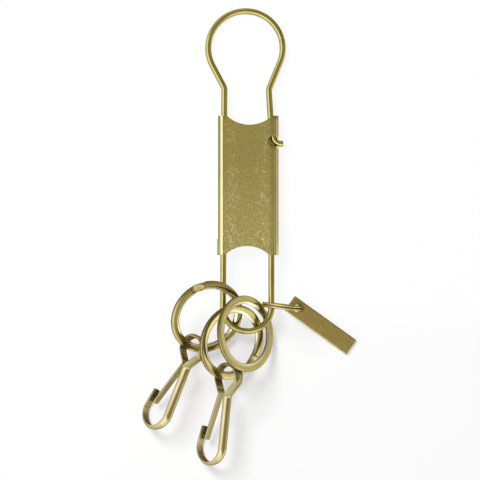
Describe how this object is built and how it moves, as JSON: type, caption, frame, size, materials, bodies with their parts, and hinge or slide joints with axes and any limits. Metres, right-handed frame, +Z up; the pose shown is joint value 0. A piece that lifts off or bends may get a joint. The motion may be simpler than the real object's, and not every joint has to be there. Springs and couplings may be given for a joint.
{
  "type": "brass key fob",
  "caption": "Brass key fob: a sprung wire loop locked by a sliding flat sleeve, carrying split rings, spring clips and a small tag.",
  "frame": {"origin": "middle of the part's footprint on the surface that it lies on", "axes": "+Y along the loop towards its round bow, +Z up from the surface, +X to the right"},
  "size_m": [0.0856, 0.183, 0.0234],
  "materials": {
    "wire_brass": "drawn, worn bright",
    "sleeve_brass": "tumbled satin, speckled",
    "ring_brass": "plated satin",
    "clip_brass": "polished outside, brushed inside",
    "tag_brass": "tumbled satin"
  },
  "bodies": {
    "loop": {"loop_wire": "wire_brass"},
    "latch": {"latch_leg": "wire_brass"},
    "sleeve": {"sleeve": "sleeve_brass"},
    "ring_a": {"split_ring_a": "ring_brass"},
    "ring_b": {"split_ring_b": "ring_brass"},
    "ring_c": {"split_ring_c": "ring_brass"},
    "clip_a": {"clip_a_body": "clip_brass"},
    "clip_a_gate": {"clip_a_gate": "clip_brass"},
    "clip_b": {"clip_b_body": "clip_brass"},
    "clip_b_gate": {"clip_b_gate": "clip_brass"},
    "tag_ring": {"tag_ring": "ring_brass"},
    "tag": {"tag": "tag_brass"}
  },
  "joints": [
    {"name": "latch_press", "type": "hinge", "parent": "loop", "child": "latch", "pos_m": [0.01336, 0.07549, 0.00176], "axis": [0, -0.0401, -0.9992], "range_deg": [0, 4.8], "stiffness_Nm_per_rad": 2},
    {"name": "sleeve_slide", "type": "slide", "parent": "loop", "child": "sleeve", "axis": [0, 0.9992, -0.0401], "range_m": [-0.015, 0], "deforming": ["latch_leg"]},
    {"name": "ring_a_turn", "type": "hinge", "parent": "loop", "child": "ring_a", "pos_m": [-0.01701, -0.03196, 0.00997], "axis": [-0.3843, 0.3584, -0.8508], "range_deg": [0, 50]},
    {"name": "ring_b_turn", "type": "hinge", "parent": "loop", "child": "ring_b", "pos_m": [-0.00717, -0.04209, 0.00987], "axis": [-0.5795, 0.1995, -0.7902], "range_deg": [0, 28]},
    {"name": "ring_c_lift", "type": "hinge", "parent": "loop", "child": "ring_c", "pos_m": [0.00915, -0.03759, 0.00149], "axis": [-0.7071, 0.7065, -0.0284], "range_deg": [0, 50]},
    {"name": "clip_a_swing", "type": "hinge", "parent": "ring_a", "child": "clip_a", "pos_m": [-0.02281, -0.0456, 0.01037], "axis": [0, 0, 1], "range_deg": [-20, 14]},
    {"name": "clip_b_swing", "type": "hinge", "parent": "ring_b", "child": "clip_b", "pos_m": [-0.00846, -0.05693, 0.01022], "axis": [0, 0, 1], "range_deg": [-25, 20]},
    {"name": "clip_a_gate_press", "type": "hinge", "parent": "clip_a", "child": "clip_a_gate", "pos_m": [-0.02629, -0.05087, 0.00901], "axis": [-0.6603, 0.2535, 0.7069], "range_deg": [0, 18], "stiffness_Nm_per_rad": 0.05},
    {"name": "clip_b_gate_press", "type": "hinge", "parent": "clip_b", "child": "clip_b_gate", "pos_m": [-0.01163, -0.06294, 0.00762], "axis": [-0.7041, 0.0666, 0.707], "range_deg": [0, 18], "stiffness_Nm_per_rad": 0.05},
    {"name": "tag_ring_slide", "type": "slide", "parent": "loop", "child": "tag_ring", "axis": [0, 1, 0], "range_m": [0, 0.015]},
    {"name": "tag_swing", "type": "hinge", "parent": "tag_ring", "child": "tag", "pos_m": [0.0134, -0.02796, 0.00847], "axis": [-0.1132, -0.9936, 0], "range_deg": [0, 60]}
  ]
}
